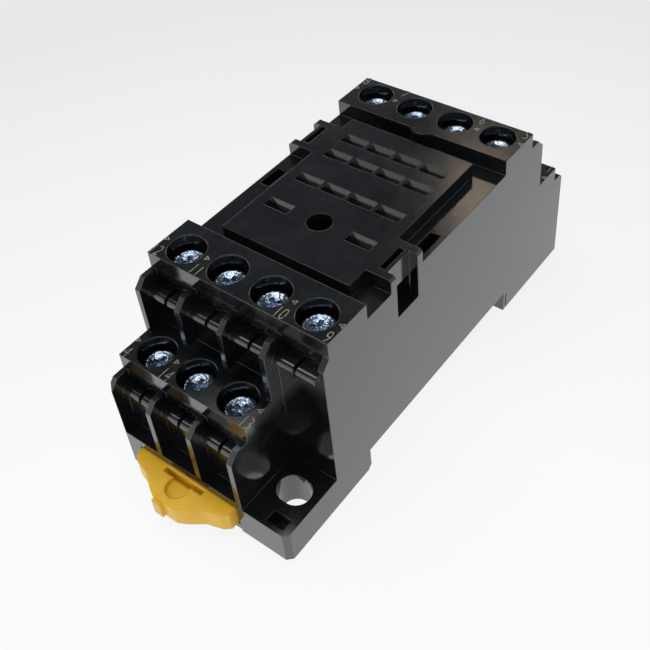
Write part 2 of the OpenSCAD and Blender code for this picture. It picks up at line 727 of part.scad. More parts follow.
module din_slider() {
    catch_y = slider_back_y - stop_t - free_gap;
    arm_x = slider_w / 2 - arm_w;
    color("#d9a22c") from_feet() translate([slider_x, 0, 0]) {
        difference() {
            slider_blank();
            for (s = [-1, 1]) {
                x = s * (arm_x - arm_slot_w / 2);
                box([x - arm_slot_w / 2, slider_back_y - arm_l, 0], [x + arm_slot_w / 2, 0, big]);
            }
            box([-tab_slot_w / 2, -half_l - tab_slot_l - free_gap, slider_top_z - tab_slot_h],
                [tab_slot_w / 2, -half_l - free_gap, big]);
            translate([0, -half_l - tab_recess_reach, slider_top_z - tab_recess_h])
                cylinder(d = tab_recess_d, h = tab_recess_h + mid);
        }
        for (s = [-1, 1]) {
            x = s * (slider_w + catch_reach - cut) / 2;
            box([x - (catch_reach + cut) / 2, catch_y - catch_l, slider_bottom_z],
                [x + (catch_reach + cut) / 2, catch_y, slider_top_z]);
        }
        box([gate_x - gate_w / 2, -half_l - tab_reach - gate_reach, slider_bottom_z],
            [gate_x + gate_w / 2, cut - half_l - tab_reach, slider_top_z - gate_drop]);
        slice(-nose_w / 2, nose_w / 2, [
            [slider_back_y - mid, slider_bottom_z],
            [nose_reach - channel_near_y - nose_slope, slider_bottom_z],
            [nose_reach - channel_near_y, slider_bottom_z + nose_slope],
            [nose_reach - channel_near_y, slider_bottom_z + nose_t],
            [slider_back_y - mid, slider_bottom_z + nose_t]]);
    }
}

// ---- contacts ----

// Two leaves that grip a blade, on a foot at height z
module fork(x, y, z) {
    h = fork_top_z - z;
    for (s = [-1, 1]) {
        translate([0, y, z])
            slice(x - fork_w / 2, x + fork_w / 2, [
                [s * blade_gap / 2, 0], [s * fork_l / 2, 0], [s * fork_l / 2, h - fork_tip_h],
                [s * (fork_l / 2 + fork_spread), h], [s * (blade_gap / 2 + fork_spread), h],
                [s * blade_gap / 2, h - fork_tip_h]]);
    }
}

module contact(n) {
    t = TERMINALS[n - 1];
    deck = t[0];
    x = t[1] * bay_x(t[2]);
    y = -screw_y(deck);
    top_z = plate_z(deck);
    strap_x = t[1] * t[3];
    half = t[4] / 2;
    strap_z = deck == UPPER ? upper_strap_z : top_z - strap_t;
    fork_x = t[1] * column_x(t[5]);
    fork_y = t[1] * t[6];
    start_y = deck == UPPER ? -riser_y - strap_t : y;
    color("#c9a45a") from_feet() at_end(t[1]) difference() {
        union() {
            box([x - plate_w / 2, y - plate_l / 2, top_z - strap_t],
                [x + plate_w / 2, y + plate_l / 2, top_z]);
            translate([x, y, top_z - strap_t - collar_h]) cylinder(d = collar_d, h = collar_h + strap_t / 2);
            if (deck == UPPER) {
                box([strap_x - half, y, top_z - strap_t], [strap_x + half, -riser_y, top_z]);
                box([strap_x - half, start_y, strap_z], [strap_x + half, -riser_y, top_z]);
            }
            box([strap_x - half, start_y, strap_z], [strap_x + half, fork_y + fork_l / 2, strap_z + strap_t]);
            box([min(strap_x - half, fork_x - fork_w / 2), fork_y - fork_l / 2, strap_z],
                [max(strap_x + half, fork_x + fork_w / 2), fork_y + fork_l / 2, strap_z + strap_t]);
            fork(fork_x, fork_y, strap_z);
        }
        translate([x, y, 0]) cylinder(d = screw_d + 2 * thread_gap, h = big);
    }
}

// ---- clamp washers ----

module clamp_washer(n) {
    t = TERMINALS[n - 1];
    z = plate_z(t[0]) + seat_gap;
    color("#c4c3bd") from_feet() at_end(t[1])
        translate([t[1] * bay_x(t[2]), -screw_y(t[0]), z]) difference() {
            union() {
                box([-clamp_w / 2, -clamp_l / 2, 0], [clamp_w / 2, clamp_l / 2, clamp_t]);
                cylinder(d = clamp_raise_d, h = clamp_t + clamp_raise_h);
                for (s = [-1, 1]) {
                    x = s * (clamp_w - clamp_lip_t) / 2;
                    box([x - clamp_lip_t / 2, -clamp_l / 2, -clamp_lip_h],
                        [x + clamp_lip_t / 2, clamp_l / 2, clamp_t]);
                }
            }
            translate([0, 0, -mid]) cylinder(d = screw_d + 2 * washer_gap, h = big);
        }
}

// ---- terminal screws ----

module terminal_screw(n) {
    t = TERMINALS[n - 1];
    color("#b9bbbd") from_feet() at_end(t[1])
        translate([t[1] * bay_x(t[2]), -screw_y(t[0]), head_z(t[0])]) difference() {
            union() {
                rotate_extrude()
                    polygon(concat(
                        [[0, 0], [head_d / 2, 0]],
                        [for (a = [0:22.5:90])
                            [head_d / 2 - head_r * (1 - cos(a)), head_h - head_r * (1 - sin(a))]],
                        [[0, head_h]]));
                translate([0, 0, -screw_l]) cylinder(d = screw_d, h = screw_l + head_h / 2);
            }
            for (a = [0, 90]) {
                rotate([0, 0, a + 45])
                    box([-cross_span / 2, -cross_w / 2, head_h - cross_h],
                        [cross_span / 2, cross_w / 2, big]);
            }
        }
}

housing();
base_cover();
din_slider();
contact(1);  // contact_1
contact(2);  // contact_2
contact(3);  // contact_3
contact(4);  // contact_4
contact(5);  // contact_5
contact(6);  // contact_6
contact(7);  // contact_7
contact(8);  // contact_8
contact(9);  // contact_9
contact(10);  // contact_10
contact(11);  // contact_11
contact(12);  // contact_12
contact(13);  // contact_13
contact(14);  // contact_14
clamp_washer(1);  // clamp_washer_1
clamp_washer(2);  // clamp_washer_2
clamp_washer(3);  // clamp_washer_3
clamp_washer(4);  // clamp_washer_4
clamp_washer(5);  // clamp_washer_5
clamp_washer(6);  // clamp_washer_6
clamp_washer(7);  // clamp_washer_7
clamp_washer(8);  // clamp_washer_8
clamp_washer(9);  // clamp_washer_9
clamp_washer(10);  // clamp_washer_10
clamp_washer(11);  // clamp_washer_11
clamp_washer(12);  // clamp_washer_12
clamp_washer(13);  // clamp_washer_13
clamp_washer(14);  // clamp_washer_14
terminal_screw(1);  // terminal_screw_1
terminal_screw(2);  // terminal_screw_2
terminal_screw(3);  // terminal_screw_3
terminal_screw(4);  // terminal_screw_4
terminal_screw(5);  // terminal_screw_5
terminal_screw(6);  // terminal_screw_6
terminal_screw(7);  // terminal_screw_7
terminal_screw(8);  // terminal_screw_8
terminal_screw(9);  // terminal_screw_9
terminal_screw(10);  // terminal_screw_10
terminal_screw(11);  // terminal_screw_11
terminal_screw(12);  // terminal_screw_12
terminal_screw(13);  // terminal_screw_13
terminal_screw(14);  // terminal_screw_14
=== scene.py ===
import math

import bpy
from mathutils import Matrix, Vector


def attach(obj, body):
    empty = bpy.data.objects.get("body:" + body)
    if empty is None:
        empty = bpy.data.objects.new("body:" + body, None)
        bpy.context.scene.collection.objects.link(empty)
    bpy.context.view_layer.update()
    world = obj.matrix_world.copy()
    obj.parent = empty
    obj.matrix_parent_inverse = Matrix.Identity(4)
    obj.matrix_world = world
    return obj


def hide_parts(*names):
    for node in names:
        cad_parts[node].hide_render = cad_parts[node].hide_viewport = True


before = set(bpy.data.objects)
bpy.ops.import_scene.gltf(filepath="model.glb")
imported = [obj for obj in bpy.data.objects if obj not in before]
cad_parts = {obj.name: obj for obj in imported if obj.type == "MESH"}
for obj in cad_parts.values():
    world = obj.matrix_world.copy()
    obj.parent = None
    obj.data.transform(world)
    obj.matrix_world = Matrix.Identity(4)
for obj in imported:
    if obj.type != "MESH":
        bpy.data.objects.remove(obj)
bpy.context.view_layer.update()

# ---------------------------------------------------------------- camera
# A view over the near right corner through a normal lens, aimed at the table under the
# socket's far left edge, 170 mm away, with a little lens shift to place it in the frame.
MM = 0.001
azimuth = math.radians(39.511)
elevation = math.radians(41.426)
roll = math.radians(-4.754)
camera_reach = 169.82 * MM
feet_z = -3.8 * MM
aim = Vector((-14.881 * MM, 18.638 * MM, feet_z))
back = Vector((math.sin(azimuth) * math.cos(elevation),
               -math.cos(azimuth) * math.cos(elevation),
               math.sin(elevation)))
level = Vector((math.cos(azimuth), math.sin(azimuth), 0))
upright = back.cross(level)
right = level * math.cos(roll) + upright * math.sin(roll)
up = upright * math.cos(roll) - level * math.sin(roll)
camera_place = Matrix((right, up, back)).transposed().to_4x4()
camera_place.translation = aim + back * camera_reach
camera_data = bpy.data.cameras.new("camera")
camera_data.sensor_width = 36
camera_data.lens = 53.63
camera_data.shift_x = -0.0502
camera_data.shift_y = -0.1284
camera_data.clip_start = 0.01
camera_data.clip_end = 20
camera = bpy.data.objects.new("camera", camera_data)
camera.matrix_world = camera_place
bpy.context.scene.collection.objects.link(camera)
bpy.context.scene.camera = camera

# ---------------------------------------------------------------- floor and light
# A bright white table and low white walls under a dim ceiling: upright faces and metal show
# the white, and level faces stay dark. One soft box above the left side and one small warm
# window behind the far left corner give the glints.
bpy.context.scene.view_settings.view_transform = "Standard"


def linear(hex_colour):
    """sRGB hex to the linear colour a shader takes."""
    values = [int(hex_colour[i:i + 2], 16) / 255 for i in (1, 3, 5)]
    return tuple(v / 12.92 if v <= 0.04045 else ((v + 0.055) / 1.055) ** 2.4 for v in values) + (1.0,)


def add(tree, kind, settings=None, **links):
    """Adds a node. settings sets its properties and sockets, links joins its inputs to outputs."""
    node = tree.nodes.new("ShaderNode" + kind)
    for name, value in (settings or {}).items():
        if isinstance(name, int) or name in node.inputs:
            node.inputs[name].default_value = value
        else:
            setattr(node, name, value)
    for name, output in links.items():
        key = int(name[1:]) if name[0] == "i" and name[1:].isdigit() else name.replace("_", " ")
        tree.links.new(output, node.inputs[key])
    return node


def new_material(name):
    """An empty node material with its output node."""
    material = bpy.data.materials.new(name)
    material.use_nodes = True
    material.node_tree.nodes.clear()
    return material, material.node_tree, material.node_tree.nodes.new("ShaderNodeOutputMaterial")


world = bpy.data.worlds.new("room")
bpy.context.scene.world = world
world.use_nodes = True
tree = world.node_tree
tree.nodes.clear()
direction = add(tree, "TexCoord")
height = add(tree, "SeparateXYZ", Vector=direction.outputs["Generated"])
# what metal and gloss show: white up to 12 degrees above the horizon and a dim ceiling from
# 33 degrees, each given as the sine of its angle
wall_top, ceiling_edge = 0.2, 0.55
ceiling = add(tree, "ValToRGB", Fac=height.outputs["Z"])
ceiling.color_ramp.elements[0].position = wall_top
ceiling.color_ramp.elements[0].color = (1, 1, 1, 1)
ceiling.color_ramp.elements[1].position = ceiling_edge
ceiling.color_ramp.elements[1].color = (0.075, 0.08, 0.09, 1)
shown = add(tree, "Background", Color=ceiling.outputs["Color"])
fill = add(tree, "Background", {"Color": (0.97, 0.985, 1.0, 1), "Strength": 0.8})
wall = add(tree, "Background", {"Color": (1, 1, 1, 1), "Strength": 1.0})
ray = add(tree, "LightPath")
shiny = add(tree, "Math", {"operation": "MAXIMUM"},
            i0=ray.outputs["Is Glossy Ray"], i1=ray.outputs["Is Transmission Ray"])
room = add(tree, "MixShader", i0=shiny.outputs[0], i1=fill.outputs[0], i2=shown.outputs[0])
mixed = add(tree, "MixShader", i0=ray.outputs["Is Camera Ray"], i1=room.outputs[0], i2=wall.outputs[0])
output = tree.nodes.new("ShaderNodeOutputWorld")
tree.links.new(mixed.outputs[0], output.inputs["Surface"])

# name, place and side in metres, watts and tint
lamps = (("soft_box", (-0.16, 0.02, 0.60), 0.40, 0.8, (0.95, 0.98, 1)),
         ("window", (-0.225, 0.43, 0.42), 0.035, 0.02, (1, 0.8, 0.6)))
for name, spot, span, power, tone in lamps:
    lamp_data = bpy.data.lights.new(name, "AREA")
    lamp_data.shape = "SQUARE"
    lamp_data.size = span
    lamp_data.energy = power
    lamp_data.color = tone
    lamp = bpy.data.objects.new(name, lamp_data)
    lamp.location = spot
    lamp.rotation_euler = (-lamp.location).to_track_quat("-Z", "Y").to_euler()
    bpy.context.scene.collection.objects.link(lamp)

bpy.ops.object.select_all(action="DESELECT")
bpy.ops.mesh.primitive_plane_add(size=6, location=(0, 0, feet_z))
floor = bpy.context.object
floor.name = "table_top"
laminate, tree, out = new_material("white laminate table top")
surface = add(tree, "BsdfPrincipled",
              {"Base Color": linear("#f2f2f3"), "Roughness": 0.6, "Specular IOR Level": 0.1})
# white where it is seen or mirrored, with a painted pool of light: brightest within 50 mm of a
# spot beside the near right corner, and a little darker from 170 mm on
coord = add(tree, "TexCoord")
from_near = add(tree, "Mapping", {"Location": (-0.03, 0.05, 0)}, Vector=coord.outputs["Object"])
reach = add(tree, "VectorMath", {"operation": "LENGTH"}, i0=from_near.outputs[0])
painted_light_falloff = add(tree, "MapRange", {"From Min": 0.05, "From Max": 0.17, "To Min": 1.0, "To Max": 0.815},
           Value=reach.outputs["Value"])
glow = add(tree, "Emission", {"Color": (0.985, 0.993, 1, 1)}, Strength=painted_light_falloff.outputs[0])
ray = add(tree, "LightPath")
shiny = add(tree, "Math", {"operation": "MAXIMUM"},
            i0=ray.outputs["Is Glossy Ray"], i1=ray.outputs["Is Transmission Ray"])
seen = add(tree, "Math", {"operation": "MAXIMUM"}, i0=ray.outputs["Is Camera Ray"], i1=shiny.outputs[0])
# 87% of what is seen is glow, and the lit rest carries the socket's shadow
share = add(tree, "Math", {"operation": "MULTIPLY", 1: 0.87}, i0=seen.outputs[0])
mixed = add(tree, "MixShader", i0=share.outputs[0], i1=surface.outputs[0], i2=glow.outputs[0])
tree.links.new(mixed.outputs[0], out.inputs["Surface"])
floor.data.materials.append(laminate)

# ---------------------------------------------------------------- housing
# Injection-moulded black thermoplastic in one piece, its form the CAD's own. Its upright walls
# come off polished steel and mirror the table, and its level faces come off blasted steel.
# Flow clouds, scuffs and dust lie on both.


def black_resin(name, shade, walls, decks):
    """Moulded black resin: walls and decks give the roughness of upright and of level faces."""
    material, tree, out = new_material(name)
    coord = add(tree, "TexCoord")
    place = add(tree, "Mapping", {"Scale": (1 / MM, 1 / MM, 1 / MM)}, Vector=coord.outputs["Object"])
    facing = add(tree, "SeparateXYZ", Vector=coord.outputs["Normal"])
    level = add(tree, "MapRange", {"From Min": 0.6, "From Max": 0.95}, Value=facing.outputs["Z"])
    # flow clouds about 6 mm across
    cloud = add(tree, "TexNoise", {"Scale": 0.17, "Detail": 5.0, "Roughness": 0.62}, Vector=place.outputs[0])
    # scuffs: thin streaks some 0.15 mm wide and 3 mm long, lying two ways
    streaks = []
    for turn, shift in ((0.4, 3.0), (-0.9, 41.0)):
        drawn = add(tree, "Mapping",
                    {"Scale": (6.5, 0.33, 1.0), "Rotation": (0, 0, turn), "Location": (shift, 0, 0)},
                    Vector=place.outputs[0])
        streak = add(tree, "TexNoise", {"Scale": 1.0, "Detail": 2.0, "Roughness": 0.5},
                     Vector=drawn.outputs[0])
        streaks.append(add(tree, "MapRange", {"From Min": 0.62, "From Max": 0.76},
                           Value=streak.outputs["Fac"]))
    scuff = add(tree, "Math", {"operation": "MAXIMUM"}, i0=streaks[0].outputs[0], i1=streaks[1].outputs[0])
    # blasted grain about 0.15 mm across
    grain = add(tree, "TexNoise", {"Scale": 6.0, "Detail": 2.0, "Roughness": 0.6}, Vector=place.outputs[0])
    # dust: faint pale specks of 0.1 mm
    speck = add(tree, "TexNoise", {"Scale": 9.0, "Detail": 1.0}, Vector=place.outputs[0])
    dust = add(tree, "MapRange", {"From Min": 0.66, "From Max": 0.8, "To Max": 0.35},
               Value=speck.outputs["Fac"])
    tint = add(tree, "ValToRGB", Fac=cloud.outputs["Fac"])
    tint.color_ramp.elements[0].position = 0.36
    tint.color_ramp.elements[0].color = linear(shade[0])
    tint.color_ramp.elements[1].position = 0.68
    tint.color_ramp.elements[1].color = linear(shade[1])
    worn = add(tree, "Mix", {"data_type": "RGBA", 7: linear("#4a4945")},
               i0=dust.outputs[0], i6=tint.outputs["Color"])
    wall = add(tree, "MapRange", {"From Min": 0.3, "From Max": 0.72, "To Min": walls[0], "To Max": walls[1]},
               Value=cloud.outputs["Fac"])
    deck = add(tree, "MapRange", {"From Min": 0.3, "From Max": 0.72, "To Min": decks[0], "To Max": decks[1]},
               Value=cloud.outputs["Fac"])
    rough = add(tree, "Mix", i0=level.outputs[0], i2=wall.outputs[0], i3=deck.outputs[0])
    scuffed = add(tree, "Math", {"operation": "MULTIPLY_ADD", 1: 0.12},
                  i0=scuff.outputs[0], i2=rough.outputs[0])
    depth = add(tree, "MapRange", {"To Min": 0.04, "To Max": 0.75}, Value=level.outputs[0])
    blasted = add(tree, "Bump", {"Distance": 0.012 * MM},
                  Height=grain.outputs["Fac"], Strength=depth.outputs[0])
    sunk = add(tree, "Bump", {"Strength": 0.1, "Distance": 0.06 * MM},
               Height=cloud.outputs["Fac"], Normal=blasted.outputs[0])
    edge = add(tree, "Bevel", {"Radius": 0.12 * MM, "samples": 6}, Normal=sunk.outputs[0])
    surface = add(tree, "BsdfPrincipled", {"IOR": 1.97},
                  Base_Color=worn.outputs[2], Roughness=scuffed.outputs[0], Normal=edge.outputs[0])
    tree.links.new(surface.outputs[0], out.inputs["Surface"])
    return material


def dress(node, material):
    """Gives a CAD node one material, on every face."""
    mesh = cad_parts[node].data
    mesh.materials.clear()
    mesh.materials.append(material)


dress("housing", black_resin("semi-gloss moulded black resin", ("#0b0c0e", "#151719"),
                             (0.08, 0.17), (0.08, 0.17)))

# ---------------------------------------------------------------- base cover
# A flat injection-moulded cover of the same resin, pressed into the underside to close the
# contact chamber. Its mould is not polished, so it is matt on every face.
dress("base_cover", black_resin("matt moulded black resin", ("#121211", "#1c1b1a"),
                                (0.35, 0.5), (0.45, 0.6)))

# ---------------------------------------------------------------- terminal marks
# Terminal numbers 1 to 14 and a small open triangle that points at each well, marked by laser
# in the black resin: pale, dry strokes some 0.14 mm wide that stand hardly proud.
UPPER, LOWER = 1, 0
NEAR, FAR = -1, 1
bay_pitch = 7.15
screw_row = {UPPER: 21.0, LOWER: 29.6}
deck_z = {UPPER: 26.7, LOWER: 15.05}
mark_lift = 0.004
digit_size = 2.75
digit_squeeze = 0.66
stroke_thinner = 0.035
number_out_x, number_out_y = 3.35, 2.3
arrow_r = 0.5
arrow_stroke = 0.14
arrow_out_x = 3.65
arrow_shift_y = 0.1
# deck, end, and bay counted along X, by terminal number
terminals = ((LOWER, FAR, 3), (LOWER, FAR, 2), (LOWER, FAR, 1), (LOWER, NEAR, 0),
             (UPPER, FAR, 3), (UPPER, FAR, 2), (UPPER, FAR, 1), (UPPER, FAR, 0),
             (UPPER, NEAR, 3), (UPPER, NEAR, 2), (UPPER, NEAR, 1), (UPPER, NEAR, 0),
             (LOWER, NEAR, 2), (LOWER, NEAR, 1))
numbers = range(1, len(terminals) + 1)

# burnt, foamed resin: dry and matt, mottled where the beam's spots meet
laser, tree, out = new_material("laser-marked pale resin")
coord = add(tree, "TexCoord")
place = add(tree, "Mapping", {"Scale": (1 / MM, 1 / MM, 1 / MM)}, Vector=coord.outputs["Object"])
dots = add(tree, "TexNoise", {"Scale": 5.0, "Detail": 3.0}, Vector=place.outputs[0])
tint = add(tree, "ValToRGB", Fac=dots.outputs["Fac"])
tint.color_ramp.elements[0].position = 0.35
tint.color_ramp.elements[0].color = linear("#5f5d50")
tint.color_ramp.elements[1].position = 0.6
tint.color_ramp.elements[1].color = linear("#97937f")
bump = add(tree, "Bump", {"Strength": 0.3, "Distance": 0.02 * MM}, Height=dots.outputs["Fac"])
surface = add(tree, "BsdfPrincipled", {"Roughness": 0.7},
              Base_Color=tint.outputs["Color"], Normal=bump.outputs[0])
tree.links.new(surface.outputs[0], out.inputs["Surface"])


def well_of(n):
    """Deck of terminal n, and the middle of its well in x and y."""
    deck, end, bay = terminals[n - 1]
    return deck, (bay - 1.5) * bay_pitch, end * screw_row[deck]


for n in numbers:
    deck, x, y = well_of(n)
    side = math.copysign(1, x)
    end = math.copysign(1, y)
    mark_z = (deck_z[deck] + mark_lift) * MM
    bpy.ops.object.select_all(action="DESELECT")
    bpy.ops.object.text_add()
    number = bpy.context.object
    number.name = f"number_{n}"
    number.data.body = str(n)
    number.data.align_x = "CENTER"
    number.data.align_y = "CENTER"
    number.data.size = digit_size * MM
    number.data.offset = -stroke_thinner * MM
    bpy.ops.object.convert(target="MESH")
    number.scale = (digit_squeeze, 1, 1)
    number.location = ((x + number_out_x * side) * MM, (y + number_out_y * end) * MM, mark_z)
    bpy.ops.object.transform_apply(location=True, rotation=False, scale=True)
    number.data.materials.append(laser)
    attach(number, "root")

    bpy.ops.object.select_all(action="DESELECT")
    bpy.ops.mesh.primitive_circle_add(vertices=3, radius=arrow_r * MM, fill_type="NGON",
                                      location=(0, 0, 0))
    arrow = bpy.context.object
    arrow.name = f"arrow_{n}"
    bpy.ops.object.mode_set(mode="EDIT")
    bpy.ops.mesh.select_all(action="SELECT")
    bpy.ops.mesh.inset(thickness=arrow_stroke * MM)
    bpy.ops.mesh.delete(type="FACE")
    bpy.ops.object.mode_set(mode="OBJECT")
    arrow.rotation_euler = (0, 0, math.radians(90 * side))
    arrow.location = ((x + arrow_out_x * side) * MM, (y + arrow_shift_y) * MM, mark_z)
    bpy.ops.object.transform_apply(location=True, rotation=True, scale=True)
    arrow.data.materials.append(laser)
    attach(arrow, "root")

# ---------------------------------------------------------------- release slider
# Injection-moulded amber acetal in one piece with its spring arms, pushed into the near foot
# from outside and held by catches on the arms. Soft gloss and rounded edges, and light passes
# a little way into the thin ones.
amber, tree, out = new_material("moulded amber acetal")
coord = add(tree, "TexCoord")
place = add(tree, "Mapping", {"Scale": (1 / MM, 1 / MM, 1 / MM)}, Vector=coord.outputs["Object"])
cloud = add(tree, "TexNoise", {"Scale": 0.3, "Detail": 4.0}, Vector=place.outputs[0])
tint = add(tree, "ValToRGB", Fac=cloud.outputs["Fac"])
tint.color_ramp.elements[0].position = 0.3
tint.color_ramp.elements[0].color = linear("#e8b41c")
tint.color_ramp.elements[1].position = 0.72
tint.color_ramp.elements[1].color = linear("#f6c42c")
grain = add(tree, "TexNoise", {"Scale": 7.0, "Detail": 2.0}, Vector=place.outputs[0])
bump = add(tree, "Bump", {"Strength": 0.15, "Distance": 0.02 * MM}, Height=grain.outputs["Fac"])
edge = add(tree, "Bevel", {"Radius": 0.45 * MM, "samples": 8}, Normal=bump.outputs[0])
rough = add(tree, "MapRange", {"To Min": 0.28, "To Max": 0.42}, Value=cloud.outputs["Fac"])
surface = add(tree, "BsdfPrincipled",
              {"IOR": 1.52, "Subsurface Weight": 0.3, "Subsurface Scale": 1.0,
               "Subsurface Radius": (0.9 * MM, 0.5 * MM, 0.15 * MM)},
              Base_Color=tint.outputs["Color"], Roughness=rough.outputs[0], Normal=edge.outputs[0])
tree.links.new(surface.outputs[0], out.inputs["Surface"])
dress("din_slider", amber)

# ---------------------------------------------------------------- contacts
# Brass strip, pressed and bent: a screw plate with a threaded collar, a strap and a blade fork,
# laid into the housing from below. Its faces keep the long fine lines of rolling.
brass, tree, out = new_material("rolled brass strip")
coord = add(tree, "TexCoord")
lines = add(tree, "Mapping", {"Scale": (12 / MM, 0.4 / MM, 12 / MM)}, Vector=coord.outputs["Object"])
rolled = add(tree, "TexNoise", {"Scale": 1.0, "Detail": 2.0}, Vector=lines.outputs[0])
rough = add(tree, "MapRange", {"To Min": 0.22, "To Max": 0.4}, Value=rolled.outputs["Fac"])
bump = add(tree, "Bump", {"Strength": 0.12, "Distance": 0.01 * MM}, Height=rolled.outputs["Fac"])
surface = add(tree, "BsdfPrincipled", {"Base Color": linear("#c9a56a"), "Metallic": 1.0},
              Roughness=rough.outputs[0], Normal=bump.outputs[0])
tree.links.new(surface.outputs[0], out.inputs["Surface"])
for n in numbers:
    dress(f"contact_{n}", brass)

# ---------------------------------------------------------------- clamp washers
# Saddle washers of pressed steel, bright zinc plated: a plate with its middle pressed up, sides
# turned down and teeth in front and behind that hold the wire. One is made and copied, and
# each rides up and down with its screw. Cool white metal with duller patches.


def zinc(name, tone, gloss, ridges, dents):
    """Bright zinc plate: cool and patchy, with ridges and shallow dents this many mm deep."""
    material, tree, out = new_material(name)
    coord = add(tree, "TexCoord")
    place = add(tree, "Mapping", {"Scale": (1 / MM, 1 / MM, 1 / MM)}, Vector=coord.outputs["Object"])
    patch = add(tree, "TexNoise", {"Scale": 1.3, "Detail": 4.0}, Vector=place.outputs[0])
    rough = add(tree, "MapRange",
                {"From Min": 0.3, "From Max": 0.7, "To Min": gloss[0], "To Max": gloss[1]},
                Value=patch.outputs["Fac"])
    tint = add(tree, "ValToRGB", Fac=patch.outputs["Fac"])
    tint.color_ramp.elements[0].position = 0.35
    tint.color_ramp.elements[0].color = linear(tone[0])
    tint.color_ramp.elements[1].position = 0.7
    tint.color_ramp.elements[1].color = linear(tone[1])
    # one ridge each 0.35 mm along X
    ridge = add(tree, "TexWave", {"Scale": 0.9, "Distortion": 0.6, "Detail": 1.0},
                Vector=place.outputs[0])
    fine = add(tree, "TexNoise", {"Scale": 2.6, "Detail": 2.0}, Vector=place.outputs[0])
    dented = add(tree, "Bump", {"Strength": 1.0, "Distance": dents * MM}, Height=fine.outputs["Fac"])
    ridged = add(tree, "Bump", {"Strength": 1.0, "Distance": ridges * MM},
                 Height=ridge.outputs["Fac"], Normal=dented.outputs[0])
    edge = add(tree, "Bevel", {"Radius": 0.18 * MM, "samples": 6}, Normal=ridged.outputs[0])
    surface = add(tree, "BsdfPrincipled", {"Metallic": 1.0},
                  Base_Color=tint.outputs["Color"], Roughness=rough.outputs[0], Normal=edge.outputs[0])
    tree.links.new(surface.outputs[0], out.inputs["Surface"])
    return material


washer_zinc = zinc("zinc-plated pressed steel", ("#dfe4ea", "#f4f7fa"), (0.1, 0.22), 0.03, 0.02)
plate_w, plate_l, plate_t = 5.0, 4.5, 0.65
raise_in, raise_share, raise_h = 0.05, 0.63, 0.55
narrow_x, narrow_y = 0.92, 0.79
lip_h, lip_x = 0.6, 2.1
tooth_w, tooth_rows = 0.2, 8
toothed_x, toothed_y = 1.5, 1.7
tooth_push = 0.95
hole_r = 1.6
drill_l, drill_z = 4.0, 0.5
broken_edge = 0.05
washer_z = {UPPER: 21.15, LOWER: 9.5}


def pick(piece):
    """Makes one object the only selected one, and the active one."""
    bpy.ops.object.select_all(action="DESELECT")
    piece.select_set(True)
    bpy.context.view_layer.objects.active = piece


bpy.ops.object.select_all(action="DESELECT")
bpy.ops.mesh.primitive_plane_add(size=1, location=(0, 0, 0))
washer = bpy.context.object
washer.name = "washer_blank"
washer.scale = (plate_w * MM, plate_l * MM, 1)
bpy.ops.object.transform_apply(location=True, rotation=False, scale=True)
bpy.ops.object.mode_set(mode="EDIT")
bpy.ops.mesh.select_all(action="SELECT")
# the plate, then the middle pressed up with sloping flanks
bpy.ops.mesh.extrude_region_move(TRANSFORM_OT_translate={"value": (0, 0, plate_t * MM)})
bpy.ops.mesh.inset(thickness=raise_in * MM)
bpy.ops.transform.resize(value=(raise_share, 1, 1))
bpy.ops.mesh.extrude_region_move(TRANSFORM_OT_translate={"value": (0, 0, raise_h * MM)})
bpy.ops.transform.resize(value=(narrow_x, narrow_y, 1))
bpy.ops.mesh.select_all(action="SELECT")
bpy.ops.mesh.normals_make_consistent(inside=False)
# cuts across the width: one each 0.2 mm over the raised middle, for the teeth, and two for the
# side lips
for x in [row * tooth_w for row in range(-tooth_rows, tooth_rows + 1)] + [-lip_x, lip_x]:
    bpy.ops.mesh.select_all(action="SELECT")
    bpy.ops.mesh.bisect(plane_co=(x * MM, 0, 0), plane_no=(1, 0, 0))
bpy.ops.mesh.select_all(action="DESELECT")
bpy.ops.object.mode_set(mode="OBJECT")
for face in washer.data.polygons:
    face.select = abs(face.center.x) > lip_x * MM and face.normal.z < -0.9
bpy.ops.object.mode_set(mode="EDIT")
bpy.ops.mesh.select_mode(type="FACE")
bpy.ops.mesh.extrude_region_move(TRANSFORM_OT_translate={"value": (0, 0, -lip_h * MM)})
bpy.ops.mesh.select_mode(type="VERT")
bpy.ops.mesh.select_all(action="DESELECT")
bpy.ops.object.mode_set(mode="OBJECT")
# every second row of the front and back flanks is pushed in, which leaves the teeth
for vertex in washer.data.vertices:
    row = round(vertex.co.x / (tooth_w * MM))
    on_flank = vertex.co.z > (plate_t + raise_h / 2) * MM and abs(vertex.co.y) > toothed_y * MM
    vertex.select = on_flank and abs(vertex.co.x) < toothed_x * MM and row % 2 == 0
bpy.ops.object.mode_set(mode="EDIT")
bpy.ops.transform.resize(value=(1, tooth_push, 1))
bpy.ops.object.mode_set(mode="OBJECT")

# the screw's hole, and the edges broken by tumbling
bpy.ops.object.select_all(action="DESELECT")
bpy.ops.mesh.primitive_cylinder_add(vertices=48, radius=hole_r * MM, depth=drill_l * MM,
                                    location=(0, 0, drill_z * MM))
drill = bpy.context.object
bored = washer.modifiers.new("hole", "BOOLEAN")
bored.operation = "DIFFERENCE"
bored.solver = "EXACT"
bored.object = drill
broken = washer.modifiers.new("broken_edges", "BEVEL")
broken.width = broken_edge * MM
broken.segments = 2
broken.limit_method = "ANGLE"
broken.angle_limit = math.radians(35)
pick(washer)
bpy.ops.object.modifier_apply(modifier=bored.name)
bpy.ops.object.modifier_apply(modifier=broken.name)
bpy.ops.object.shade_smooth_by_angle(angle=math.radians(25))
bpy.data.objects.remove(drill)
washer.data.materials.append(washer_zinc)

for n in numbers:
    deck, x, y = well_of(n)
    pick(washer)
    bpy.ops.object.duplicate()
    copy = bpy.context.object
    copy.name = f"saddle_washer_{n}"
    copy.location = (x * MM, y * MM, washer_z[deck] * MM)
    bpy.ops.object.transform_apply(location=True, rotation=False, scale=False)
    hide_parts(f"clamp_washer_{n}")
    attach(copy, f"clamp_{n}")
bpy.data.objects.remove(washer)

